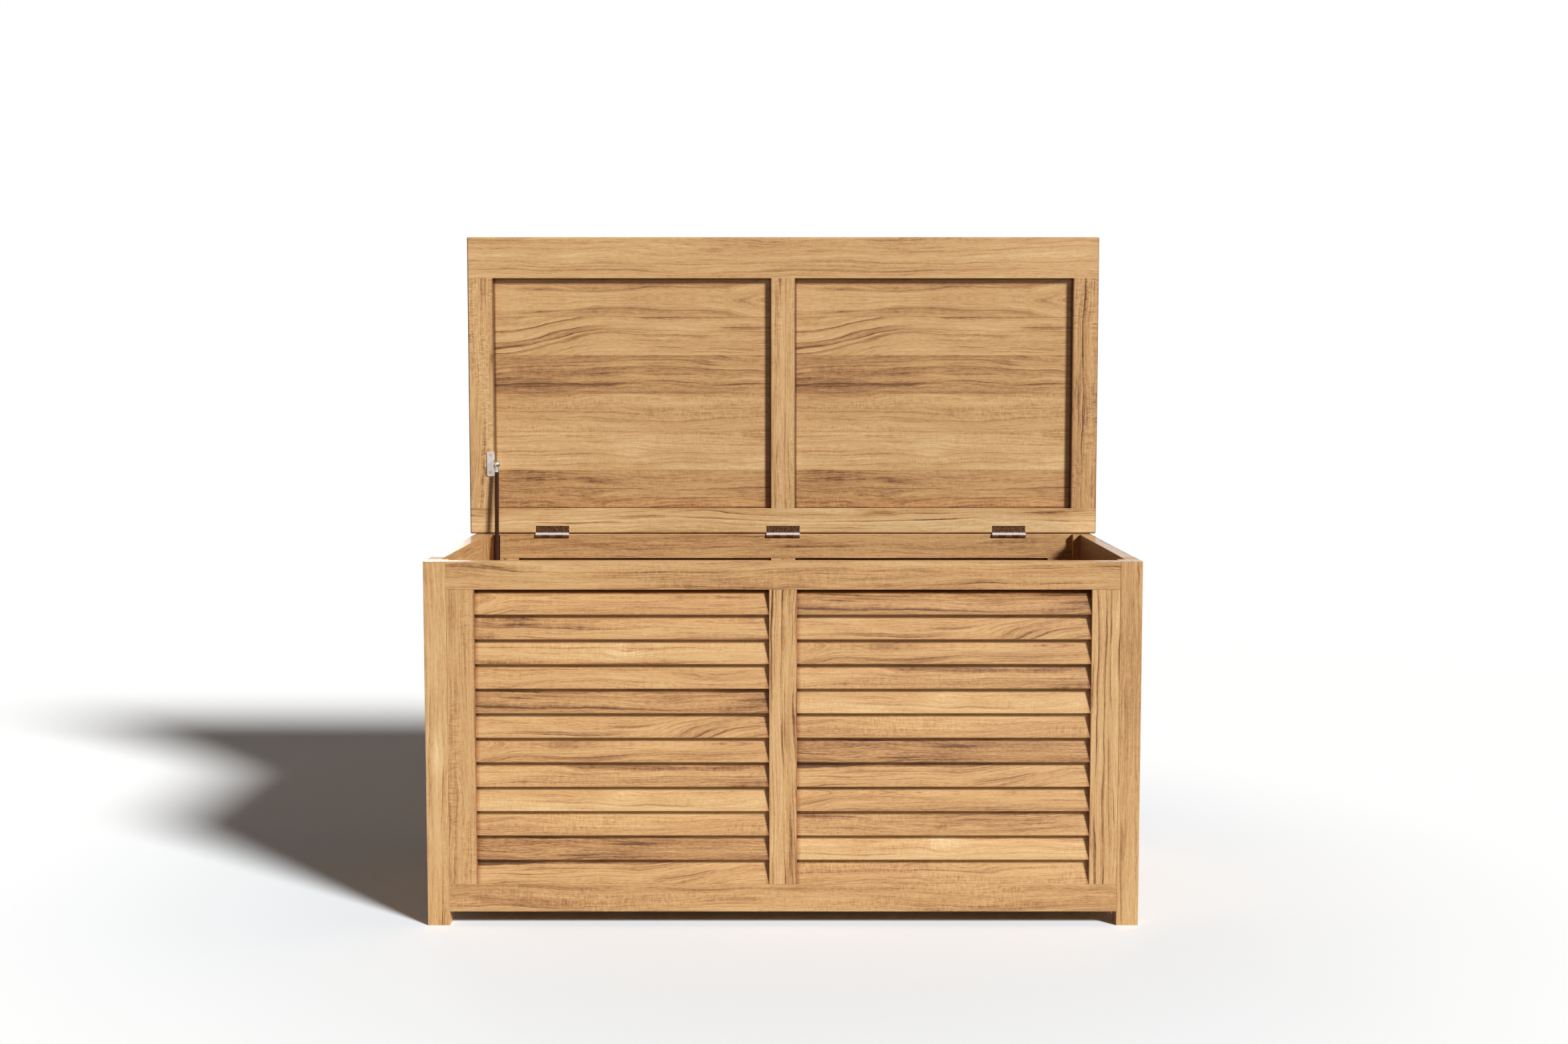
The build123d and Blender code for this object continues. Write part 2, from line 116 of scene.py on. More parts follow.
def build_teak_pattern():
    """Growth rings, fibres, pores, streaks, smudges and knots of a teak board, in metres."""
    tree = bpy.data.node_groups.new("teak_pattern", "ShaderNodeTree")
    face = tree.interface
    face.new_socket("Grain", in_out="INPUT", socket_type="NodeSocketVector")
    face.new_socket("Figure Place", in_out="INPUT", socket_type="NodeSocketVector")
    amounts = {"Seed": 0, "Tone": 0, "Rings": 1, "Streaks": 0.3, "Smudges": 0.2}
    amounts.update({"Ripple": 0.3, "Knot": 0, "Swirl": 0, "Swoosh": 0})
    for name, amount in amounts.items():
        face.new_socket(name, in_out="INPUT", socket_type="NodeSocketFloat").default_value = amount
    face.new_socket("Colour", in_out="OUTPUT", socket_type="NodeSocketColor")
    face.new_socket("Roughness", in_out="OUTPUT", socket_type="NodeSocketFloat")
    face.new_socket("Height", in_out="OUTPUT", socket_type="NodeSocketFloat")
    given = tree.nodes.new("NodeGroupInput").outputs

    # Every seed reads the pattern at another place in the log
    seed_step = (7.13, 1.37, 2.91)
    seed_shift = place_node(tree, "ShaderNodeVectorMath", {0: seed_step}, operation="SCALE")
    tree.links.new(given["Seed"], seed_shift.inputs["Scale"])
    point = vector_maths(tree, "ADD", given["Grain"], seed_shift.outputs[0])
    local = vector_maths(tree, "SUBTRACT", given["Grain"], given["Figure Place"])
    along, across, deep = place_node(tree, "ShaderNodeSeparateXYZ", {0: local}).outputs

    # A knot pushes the rings apart, a swirl nests them as arrowheads, a swoosh fans them upwards
    knot_length = 0.034
    knot_width = 0.016
    swirl_tip_round = 0.000006
    swirl_slope = -0.22
    swoosh_length = 0.22
    knot_reach = maths(tree, "POWER", maths(tree, "DIVIDE", along, knot_length), 2.0)
    knot_span = maths(tree, "POWER", maths(tree, "DIVIDE", across, knot_width), 2.0)
    knot_fall = maths(tree, "MULTIPLY", maths(tree, "ADD", knot_reach, knot_span), -1.0)
    knot = maths(tree, "MULTIPLY", maths(tree, "EXPONENT", knot_fall), given["Knot"])
    ridge = maths(tree, "SQRT", maths(tree, "MULTIPLY_ADD", across, across, swirl_tip_round))
    tail = maths(tree, "MAXIMUM", maths(tree, "MULTIPLY", along, -1.0), 0.0)
    arch = maths(tree, "MULTIPLY_ADD", tail, swirl_slope, ridge)
    arch = maths(tree, "MULTIPLY", maths(tree, "SUBTRACT", arch, across), given["Swirl"])
    fan = maths(tree, "MULTIPLY", band(tree, along, 0.0, swoosh_length), given["Swoosh"])

    def off_middle(noise):
        """A noise that swings about zero."""
        return maths(tree, "SUBTRACT", noise, 0.5)

    # The flow of the wood across the board: every mark on it is drawn out along this flow
    knot_squeeze = -0.8
    wander = off_middle(stretched_noise(tree, point, (2.8, 15, 15), 2))
    waver = off_middle(stretched_noise(tree, point, (17, 70, 70), 2))
    flow = maths(tree, "MULTIPLY", across, maths(tree, "MULTIPLY_ADD", knot, knot_squeeze, 1.0))
    flow = maths(tree, "ADD", arch, flow)
    bends = [(fan, -0.034), (wander, 0.04), (waver, 0.005), (deep, 0.6), (given["Seed"], 0.173)]
    for bend, weight in bends:
        flow = maths(tree, "MULTIPLY_ADD", bend, weight, flow)
    seeded = place_node(tree, "ShaderNodeSeparateXYZ", {0: point}).outputs
    flow_parts = {0: seeded[0], 1: flow, 2: seeded[2]}
    flowing = place_node(tree, "ShaderNodeCombineXYZ", flow_parts).outputs[0]

    def line_noise(lines_per_metre, detail, roughness=0.5):
        """Noise that changes only across the flow."""
        inputs = {"W": maths(tree, "MULTIPLY", flow, lines_per_metre), "Scale": 1.0}
        inputs.update({"Detail": detail, "Roughness": roughness})
        return place_node(tree, "ShaderNodeTexNoise", inputs, noise_dimensions="1D").outputs[0]

    uneven_pace = 0.8
    uneven_reach = 2.0
    ring_patch = (0.38, 0.66)

    def year_lines(rings_per_metre, sharpness, patch_stretch):
        """Growth rings that are dark and crisp on one side and fade out on the other."""
        uneven = line_noise(rings_per_metre * uneven_pace, 1.0)
        uneven = maths(tree, "MULTIPLY", uneven, uneven_reach)
        phase = maths(tree, "FRACT", maths(tree, "MULTIPLY_ADD", flow, rings_per_metre, uneven))
        edge = maths(tree, "POWER", maths(tree, "SUBTRACT", 1.0, phase), sharpness)
        patch = band(tree, stretched_noise(tree, flowing, patch_stretch, 2), *ring_patch)
        return maths(tree, "MULTIPLY", maths(tree, "MULTIPLY", edge, patch), given["Rings"])

    wide_rings = year_lines(34.0, 6.0, (4, 26, 26))
    close_rings = year_lines(115.0, 3.0, (6, 50, 50))
    bands = line_noise(60.0, 3.0, 0.6)
    fibres = stretched_noise(tree, flowing, (14, 460, 300), 3, 0.7)
    specks = stretched_noise(tree, flowing, (95, 620, 500), 2, 0.65)
    pores = band(tree, specks, 0.6, 0.76)
    broad = off_middle(stretched_noise(tree, flowing, (2.2, 14, 14), 2))
    ripple_patch = band(tree, stretched_noise(tree, flowing, (5, 36, 36), 1), 0.4, 0.62)
    ripple = off_middle(stretched_noise(tree, flowing, (330, 95, 95), 2))
    ripple = maths(tree, "MULTIPLY", maths(tree, "MULTIPLY", ripple, ripple_patch), given["Ripple"])
    veins = band(tree, stretched_noise(tree, flowing, (4.2, 150, 150), 2, 0.6), 0.58, 0.72)
    veins = maths(tree, "MULTIPLY", veins, given["Streaks"])
    smudge_cloud = band(tree, stretched_noise(tree, flowing, (7, 42, 42), 4, 0.62), 0.5, 0.74)
    smudge_curl = band(tree, stretched_noise(tree, flowing, (75, 16, 16), 2), 0.2, 0.65)
    smudges = maths(tree, "MULTIPLY", smudge_cloud, smudge_curl)
    smudges = maths(tree, "MULTIPLY", smudges, given["Smudges"])

    # How far each mark lightens the wood, or darkens it where the weight is negative
    marks = [
        (off_middle(bands), 0.4),
        (off_middle(fibres), 0.8),
        (off_middle(specks), 0.58),
        (broad, 0.5),
        (ripple, 0.6),
        (knot, 0.2),
        (wide_rings, -0.46),
        (close_rings, -0.2),
        (pores, -0.1),
        (veins, -0.45),
        (smudges, -0.45),
    ]
    middle_tone = 0.53
    tone = maths(tree, "ADD", given["Tone"], middle_tone)
    for mark, weight in marks:
        tone = maths(tree, "MULTIPLY_ADD", mark, weight, tone)
    teak_steps = [
        (0.0, srgb(104, 70, 44)),
        (0.22, srgb(162, 116, 75)),
        (0.5, srgb(206, 160, 107)),
        (0.76, srgb(224, 185, 131)),
        (1.0, srgb(240, 211, 165)),
    ]
    colour = colour_steps(tree, tone, teak_steps)

    plain_roughness = 0.5
    fibre_gloss = -0.16
    pore_dullness = 0.14
    fibre_height = 0.5
    pore_height = -0.7
    ring_height = -0.25
    roughness = maths(tree, "MULTIPLY_ADD", fibres, fibre_gloss, plain_roughness)
    roughness = maths(tree, "MULTIPLY_ADD", pores, pore_dullness, roughness)
    height = maths(tree, "MULTIPLY", fibres, fibre_height)
    height = maths(tree, "MULTIPLY_ADD", pores, pore_height, height)
    height = maths(tree, "MULTIPLY_ADD", close_rings, ring_height, height)
    done = tree.nodes.new("NodeGroupOutput").inputs
    tree.links.new(colour, done["Colour"])
    tree.links.new(roughness, done["Roughness"])
    tree.links.new(height, done["Height"])
    return tree


teak_pattern = build_teak_pattern()
grain_turns = {
    "long": Matrix(((1, 0, 0), (0, 0, 1), (0, -1, 0))),
    "upright": Matrix(((0, 0, 1), (1, 0, 0), (0, 1, 0))),
    "deep": Matrix(((0, 1, 0), (0, 0, 1), (1, 0, 0))),
}
teak_gloss = 0.32
grain_bump = 0.35
grain_depth = 0.0005


def oiled_teak(name):
    """A new teak material: the pattern drives colour, gloss and a shallow bump."""
    material = bpy.data.materials.new(name)
    material.use_nodes = True
    tree = material.node_tree
    pattern = place_node(tree, "ShaderNodeGroup", node_tree=teak_pattern)
    shader = tree.nodes["Principled BSDF"]
    bump_inputs = {"Height": pattern.outputs["Height"], "Strength": grain_bump}
    bump = place_node(tree, "ShaderNodeBump", {**bump_inputs, "Distance": grain_depth})
    tree.links.new(pattern.outputs["Colour"], shader.inputs["Base Color"])
    tree.links.new(pattern.outputs["Roughness"], shader.inputs["Roughness"])
    tree.links.new(bump.outputs["Normal"], shader.inputs["Normal"])
    shader.inputs["Specular IOR Level"].default_value = teak_gloss
    return material, pattern


def finish_node(node_name, material):
    """Puts a material on one CAD piece."""
    piece = frame["nodes"][node_name]
    piece.data.materials.clear()
    piece.data.materials.append(material)


def dress_timber(node_name, grain, seed, **amounts):
    """Gives one solid length of wood its own cut of teak, with the grain along it."""
    low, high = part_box(node_name)
    material, pattern = oiled_teak("teak_" + node_name)
    tree = material.node_tree
    turn = grain_turns[grain]
    laid_inputs = {"Vector": own_place(tree), "Rotation": turn.to_euler()}
    laid_inputs["Location"] = turn @ (low + high) / -2
    laid = place_node(tree, "ShaderNodeMapping", laid_inputs)
    tree.links.new(laid.outputs[0], pattern.inputs["Grain"])
    pattern.inputs["Seed"].default_value = seed
    for name, amount in amounts.items():
        pattern.inputs[name.replace("_", " ")].default_value = amount
    finish_node(node_name, material)
    return material


left_post_knot = {"Knot": 0.9, "Figure_Place": (-0.02, 0.0, 0.0)}
dress_timber("front_left_post", "upright", 1.0, Tone=0.06, Streaks=0.25, **left_post_knot)
dress_timber("front_right_post", "upright", 2.0, Tone=-0.02, Streaks=0.35, Rings=0.8)
dress_timber("rear_left_post", "upright", 3.0, Tone=-0.02, Streaks=0.3)
dress_timber("rear_right_post", "upright", 4.0, Tone=0.0, Streaks=0.3)

# Front and rear frames: teak rails from post to post, tenoned into them, with two stiles and a
# mullion standing between. The grain runs along every member, so the joints show as fine lines.
dress_timber("front_top_rail", "long", 5.0, Tone=-0.02, Smudges=0.35, Ripple=0.5)
dress_timber("front_bottom_rail", "long", 6.0, Tone=-0.03, Rings=0.5, Ripple=0.9, Streaks=0.1)
dress_timber("front_left_stile", "upright", 7.4, Tone=-0.03, Streaks=0.15, Smudges=0.3, Ripple=0.9)
dress_timber("front_mullion", "upright", 8.0, Tone=0.09, Streaks=1.1, Rings=2.0)
dress_timber("front_right_stile", "upright", 9.0, Tone=0.14, Streaks=1.0, Rings=2.1)
dress_timber("rear_top_rail", "long", 10.0, Tone=-0.05, Smudges=0.4)
dress_timber("rear_bottom_rail", "long", 11.0, Tone=-0.01, Ripple=0.8)
dress_timber("rear_left_stile", "upright", 12.0, Streaks=0.4)
dress_timber("rear_mullion", "upright", 13.0, Tone=0.03, Streaks=0.4)
dress_timber("rear_right_stile", "upright", 14.0, Tone=0.04)

# Side frames: teak stiles that run up to the rim, tongued into the posts, with a rail between
# them at the top and at the bottom.
for number, side in enumerate(("left", "right")):
    first_seed = 15.0 + 4 * number
    dress_timber(side + "_side_front_stile", "upright", first_seed, Tone=0.02, Streaks=0.35)
    dress_timber(side + "_side_rear_stile", "upright", first_seed + 1, Streaks=0.3, Ripple=0.6)
    dress_timber(side + "_side_top_rail", "deep", first_seed + 2, Tone=0.03, Smudges=0.2)
    dress_timber(side + "_side_bottom_rail", "deep", first_seed + 3, Tone=-0.02, Ripple=0.9)

# Rim: the level top faces of the teak posts, of the front top rail and of the side top rails.
# The lid comes down on it, and hands have rubbed its oiled wood to a sheen.
rim_sheen = 0.5
rim_roughness = 0.2
rim_fade_low = 0.0012
rim_fade_high = 0.0004


def one_axis(tree, place, axis):
    """One of the three numbers of a place."""
    return place_node(tree, "ShaderNodeSeparateXYZ", {0: place}).outputs[axis]


def polish_rim(node_name):
    """Gives the top face of a timber the sheen of rubbed wood."""
    tree = frame["nodes"][node_name].data.materials[0].node_tree
    shader = tree.nodes["Principled BSDF"]
    height = one_axis(tree, own_place(tree), "Z")
    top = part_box(node_name)[1].z
    on_top = band(tree, height, top - rim_fade_low, top - rim_fade_high)
    tree.links.new(maths(tree, "MULTIPLY", on_top, rim_sheen), shader.inputs["Coat Weight"])
    shader.inputs["Coat Roughness"].default_value = rim_roughness


for side in ("left", "right"):
    polish_rim(side + "_side_top_rail")
    polish_rim("front_" + side + "_post")
    polish_rim("rear_" + side + "_post")
polish_rim("front_top_rail")

# Louvres: twelve thin teak slats in each of six bays, leaning with the lower edge out. Their edges
# are rounded over and their ends are let into housings in the uprights beside them.
louvre_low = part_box("front_left_louvres")[0].z
louvre_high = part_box("front_left_louvres")[1].z
slats_in_bay = 12
slat_lean = radians(15)
slat_pitch = (louvre_high - louvre_low) / slats_in_bay
slat_overlap = 0.005
slat_thick = 0.008
slat_round = 0.0009
slat_round_steps = 4
slat_setback = 0.0005
slat_housing = 0.008
slat_width = (slat_pitch + slat_overlap) / cos(slat_lean)
board_kinds = 6
figure_span = 0.52
swirl_rise = 0.007


def dress_boards(name, figure_side, tone_shift, second_tone):
    """Teak for a row of boards: six cuts in turn, read from each board's own number."""
    material, pattern = oiled_teak(name)
    tree = material.node_tree
    grain = place_node(tree, "ShaderNodeAttribute", attribute_name="grain").outputs["Vector"]
    number = place_node(tree, "ShaderNodeAttribute", attribute_name="board").outputs["Fac"]
    kind = maths(tree, "FLOORED_MODULO", number, float(board_kinds))
    share = maths(tree, "DIVIDE", maths(tree, "ADD", kind, 0.5), float(board_kinds))
    # Each row: tone, streaks, smudges; knot, swirl, swoosh; rings, ripple, place of the figure
    cuts = [
        ((0.51, 0.25, 0.15), (0.0, 1.0, 0.0), (0.9, 0.2, 0.14)),
        ((second_tone, 0.30, 0.75), (0.0, 0.0, 0.0), (0.7, 0.5, 0.50)),
        ((0.645, 0.35, 0.32), (1.0, 0.0, 0.0), (1.0, 0.6, 0.50)),
        ((0.50, 0.08, 0.15), (0.0, 0.0, 0.0), (0.5, 0.9, 0.50)),
        ((0.33, 0.60, 0.30), (0.0, 0.0, 0.0), (0.9, 0.3, 0.50)),
        ((0.53, 0.55, 0.20), (0.0, 0.0, 1.0), (1.2, 0.1, 0.55)),
    ]
    tables = []
    for column in range(3):
        steps = [(row / board_kinds, (*cut[column], 1.0)) for row, cut in enumerate(cuts)]
        table = colour_steps(tree, share, steps, "CONSTANT")
        tables.append(place_node(tree, "ShaderNodeSeparateColor", {0: table}).outputs)
    tone, streaks, smudges = tables[0]
    knot, swirl, swoosh = tables[1]
    rings, ripple, figure = tables[2]
    turned = vector_maths(tree, "MULTIPLY", grain, (figure_side, figure_side, 1.0))
    figure_along = maths(tree, "MULTIPLY", maths(tree, "SUBTRACT", figure, 0.5), figure_span)
    figure_up = maths(tree, "MULTIPLY", swirl, swirl_rise)
    figure_place = place_node(tree, "ShaderNodeCombineXYZ", {0: figure_along, 1: figure_up}).outputs[0]
    feeds = {"Grain": turned, "Figure Place": figure_place, "Seed": number}
    feeds["Tone"] = maths(tree, "ADD", tone, tone_shift - 0.5)
    feeds.update({"Streaks": streaks, "Smudges": smudges, "Rings": rings, "Ripple": ripple})
    feeds.update({"Knot": knot, "Swirl": swirl, "Swoosh": swoosh})
    for socket, feed in feeds.items():
        tree.links.new(feed, pattern.inputs[socket])
    return material


def tree_inputs(tree, sizes):
    """Names the inputs of a geometry tree; a text stands for geometry, None for a material."""
    kinds = {float: "NodeSocketFloat", int: "NodeSocketInt", tuple: "NodeSocketVector"}
    kinds[str] = "NodeSocketGeometry"
    for name, value in sizes.items():
        kind = kinds.get(type(value), "NodeSocketMaterial")
        tree.interface.new_socket(name, in_out="INPUT", socket_type=kind)
    tree.interface.new_socket("Geometry", in_out="OUTPUT", socket_type="NodeSocketGeometry")
    return tree.nodes.new("NodeGroupInput").outputs


def grow(name, tree, sizes, places=()):
    """Runs a geometry tree with the given sizes and places, and keeps the result as a plain mesh."""
    seed_mesh = bpy.data.meshes.new(name + "_seed")
    seed_mesh.from_pydata(places, [], [])
    seedbed = bpy.data.objects.new(name + "_seed", seed_mesh)
    bpy.context.scene.collection.objects.link(seedbed)
    modifier = seedbed.modifiers.new("grow", "NODES")
    modifier.node_group = tree
    for item in tree.interface.items_tree:
        if item.in_out == "INPUT" and item.socket_type != "NodeSocketGeometry":
            modifier[item.identifier] = sizes[item.name]
    evaluated = seedbed.evaluated_get(bpy.context.evaluated_depsgraph_get())
    mesh = bpy.data.meshes.new_from_object(evaluated)
    seedbed.modifiers.remove(modifier)
    bpy.data.objects.remove(seedbed)
    piece = bpy.data.objects.new(name, mesh)
    bpy.context.scene.collection.objects.link(piece)
    return piece


crease_angle = radians(40)
same_board = 0.25


def build_board_row():
    """Boards with rounded long edges in a row, each with its own grain and number."""
    tree = bpy.data.node_groups.new("row_of_boards", "GeometryNodeTree")
    sizes = {"Boards": 1, "Length": 1.0, "Width": 1.0, "Thickness": 1.0}
    sizes.update({"Edge Round": 1.0, "Round Steps": 1})
    sizes.update({"First Place": (0, 0, 0), "Step": (0, 0, 0), "Board Turn": (0, 0, 0)})
    sizes.update({"First Number": 1, "Number Step": 1, "End Extra": 1.0})
    sizes.update({"Cut Low": 1.0, "Cut High": 1.0, "Cut Slope": 1.0})
    sizes.update({"Row Turn": (0, 0, 0), "Row Place": (0, 0, 0), "Finish": None})
    given = tree_inputs(tree, sizes)

    outline_sizes = {"Width": given["Width"], "Height": given["Thickness"]}
    outline = place_node(tree, "GeometryNodeCurvePrimitiveQuadrilateral", outline_sizes)
    rounding = {"Curve": outline.outputs[0], "Radius": given["Edge Round"], "Count": given["Round Steps"]}
    rounded = place_node(tree, "GeometryNodeFilletCurve", rounding, mode="POLY")
    half_length = maths(tree, "MULTIPLY", given["Length"], 0.5)
    half_end = place_node(tree, "ShaderNodeCombineXYZ", {"X": half_length})
    far_length = maths(tree, "MULTIPLY", given["Length"], -0.5)
    other_end = place_node(tree, "ShaderNodeCombineXYZ", {"X": far_length})
    line_ends = {"Start": other_end.outputs[0], "End": half_end.outputs[0]}
    line = place_node(tree, "GeometryNodeCurvePrimitiveLine", line_ends)
    sweep = {"Curve": line.outputs[0], "Profile Curve": rounded.outputs[0], "Fill Caps": True}
    board = place_node(tree, "GeometryNodeCurveToMesh", sweep)
    spot = place_node(tree, "GeometryNodeInputPosition").outputs[0]
    grain_store = {"Geometry": board.outputs[0], "Name": "grain", "Value": spot}
    board = place_node(tree, "GeometryNodeStoreNamedAttribute", grain_store, data_type="FLOAT_VECTOR")
    half_store = {"Geometry": board.outputs[0], "Name": "half_length", "Value": half_length}
    board = place_node(tree, "GeometryNodeStoreNamedAttribute", half_store, data_type="FLOAT")
    board = place_node(tree, "GeometryNodeSetShadeSmooth", {0: board.outputs[0]})
    angle = place_node(tree, "GeometryNodeInputMeshEdgeAngle").outputs[0]
    crisp = maths(tree, "GREATER_THAN", angle, crease_angle)
    creases = {"Geometry": board.outputs[0], "Selection": crisp, "Shade Smooth": False}
    board = place_node(tree, "GeometryNodeSetShadeSmooth", creases, domain="EDGE")

    line_up = {"Count": given["Boards"], "Start Location": given["First Place"], "Offset": given["Step"]}
    row = place_node(tree, "GeometryNodeMeshLine", line_up)
    stand = {"Points": row.outputs[0], "Instance": board.outputs[0], "Rotation": given["Board Turn"]}
    boards = place_node(tree, "GeometryNodeInstanceOnPoints", stand)
    index = place_node(tree, "GeometryNodeInputIndex").outputs[0]
    number = maths(tree, "MULTIPLY_ADD", index, given["Number Step"], given["First Number"])
    number_store = {"Geometry": boards.outputs[0], "Name": "board", "Value": number}
    on_each = {"data_type": "FLOAT", "domain": "INSTANCE"}
    boards = place_node(tree, "GeometryNodeStoreNamedAttribute", number_store, **on_each)
    solid = place_node(tree, "GeometryNodeRealizeInstances", {0: boards.outputs[0]})

    # The first and last boards are wider, because they reach into the grooves of the frame
    read = "GeometryNodeInputNamedAttribute"
    own = place_node(tree, read, {"Name": "board"}, data_type="FLOAT").outputs[0]
    grain = place_node(tree, read, {"Name": "grain"}, data_type="FLOAT_VECTOR").outputs[0]
    across = one_axis(tree, grain, "Y")
    steps_along = maths(tree, "SUBTRACT", own, given["First Number"])
    place_in_row = maths(tree, "DIVIDE", steps_along, given["Number Step"])
    last_place = maths(tree, "SUBTRACT", given["Boards"], 1.0)
    is_first = maths(tree, "COMPARE", place_in_row, 0.0, same_board)
    is_last = maths(tree, "COMPARE", place_in_row, last_place, same_board)
    low_edge = maths(tree, "MULTIPLY", is_first, maths(tree, "LESS_THAN", across, 0.0))
    high_edge = maths(tree, "MULTIPLY", is_last, maths(tree, "GREATER_THAN", across, 0.0))
    stretch = maths(tree, "MULTIPLY", maths(tree, "SUBTRACT", high_edge, low_edge), given["End Extra"])
    direction = place_node(tree, "ShaderNodeVectorMath", {0: given["Step"]}, operation="NORMALIZE")
    reach_inputs = {0: direction.outputs[0], "Scale": stretch}
    reach = place_node(tree, "ShaderNodeVectorMath", reach_inputs, operation="SCALE")
    widen = {"Geometry": solid.outputs[0], "Offset": reach.outputs[0]}
    solid = place_node(tree, "GeometryNodeSetPosition", widen)

    # Above and below the cuts, points slide back along the lean of the board to a level face
    height = one_axis(tree, spot, "Z")
    over = maths(tree, "MAXIMUM", maths(tree, "SUBTRACT", height, given["Cut High"]), 0.0)
    under = maths(tree, "MAXIMUM", maths(tree, "SUBTRACT", given["Cut Low"], height), 0.0)
    slide = maths(tree, "SUBTRACT", under, over)
    slide_in = maths(tree, "MULTIPLY", slide, given["Cut Slope"])
    shift = place_node(tree, "ShaderNodeCombineXYZ", {"Y": slide_in, "Z": slide})
    level_off = {"Geometry": solid.outputs[0], "Offset": shift.outputs[0]}
    solid = place_node(tree, "GeometryNodeSetPosition", level_off)
    put = {"Geometry": solid.outputs[0], "Translation": given["Row Place"], "Rotation": given["Row Turn"]}
    solid = place_node(tree, "GeometryNodeTransform", put)
    dress = {"Geometry": solid.outputs[0], "Material": given["Finish"]}
    finished = place_node(tree, "GeometryNodeSetMaterial", dress)
    place_node(tree, "NodeGroupOutput", {0: finished.outputs[0]})
    return tree


board_row = build_board_row()
slat_finish = dress_boards("teak_slat", figure_side=1.0, tone_shift=-0.025, second_tone=0.5)


def mix_colours(tree, share, first, second):
    """A colour between two others."""
    inputs = {"Factor": share, 6: first, 7: second}
    return place_node(tree, "ShaderNodeMix", inputs, data_type="RGBA", blend_type="MIX").outputs[2]


darkening_tint = (1.0, 0.78, 0.7)
undarkened = (1.0, 1.0, 1.0, 1.0)


def darken_towards_line(material, distance, reach, darkest):
    """Darkens and browns the wood towards a line, as painted shade in laps, corners and recesses and as
    the darker side edges of the lid.
    """
    tree = material.node_tree
    shader = tree.nodes["Principled BSDF"]
    colour = shader.inputs["Base Color"].links[0].from_socket
    darkest_colour = (*[darkest * part for part in darkening_tint], 1.0)
    darkening = mix_colours(tree, band(tree, distance, 0.0, reach), darkest_colour, undarkened)
    tree.links.new(vector_maths(tree, "MULTIPLY", colour, darkening), shader.inputs["Base Color"])


def darken_side(node_name, side, reach, darkest):
    """Darkens the wood towards the edge of a timber that faces left or right."""
    low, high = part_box(node_name)
    teak = frame["nodes"][node_name].data.materials[0]
    tree = teak.node_tree
    sideways = one_axis(tree, own_place(tree), "X")
    if side > 0:
        from_edge = maths(tree, "SUBTRACT", high.x, sideways)
    else:
        from_edge = maths(tree, "SUBTRACT", sideways, low.x)
    darken_towards_line(teak, from_edge, reach, darkest)


def from_board_end(material, hidden):
    """How far a point lies from the nearer end of its board, less what is let into the frame."""
    tree = material.node_tree
    grain = place_node(tree, "ShaderNodeAttribute", attribute_name="grain").outputs["Vector"]
    half = place_node(tree, "ShaderNodeAttribute", attribute_name="half_length").outputs["Fac"]
    along = maths(tree, "ABSOLUTE", one_axis(tree, grain, "X"))
    return maths(tree, "SUBTRACT", maths(tree, "SUBTRACT", half, along), hidden)


# Painted shade darkens the laps and ends of the slats, the edges of the uprights beside them and the
# inside of the right wall, where shade falls. Each painted shade is given by how far it reaches and how
# much colour it leaves at its line.
lap_painted_shade = (0.0036, 0.34)
slat_end_painted_shade = (0.008, 0.68)
upright_edge_painted_shade = (0.0025, 0.45)
right_wall_painted_shade = (0.003, 0.38)
slat_tree = slat_finish.node_tree
slat_grain = place_node(slat_tree, "ShaderNodeAttribute", attribute_name="grain").outputs["Vector"]
lap_line = slat_width / 2 - slat_overlap / cos(slat_lean)
from_lap = maths(slat_tree, "SUBTRACT", lap_line, one_axis(slat_tree, slat_grain, "Y"))
darken_towards_line(slat_finish, from_lap, *lap_painted_shade)
darken_towards_line(slat_finish, from_board_end(slat_finish, slat_housing), *slat_end_painted_shade)
for upright, side in (("left_stile", 1), ("mullion", -1), ("mullion", 1), ("right_stile", -1)):
    darken_side("front_" + upright, side, *upright_edge_painted_shade)
# Painted shade: the inner faces of the right side's top rail and rear stile are darkened as the deep shade
# inside the right wall.
for member in ("top_rail", "rear_stile"):
    darken_side("right_side_" + member, -1, *right_wall_painted_shade)
slat_center_in = slat_setback + slat_width / 2 * sin(slat_lean) + slat_thick / 2 * cos(slat_lean)
slat_center_up = slat_width / 2 * cos(slat_lean) - slat_thick / 2 * sin(slat_lean)
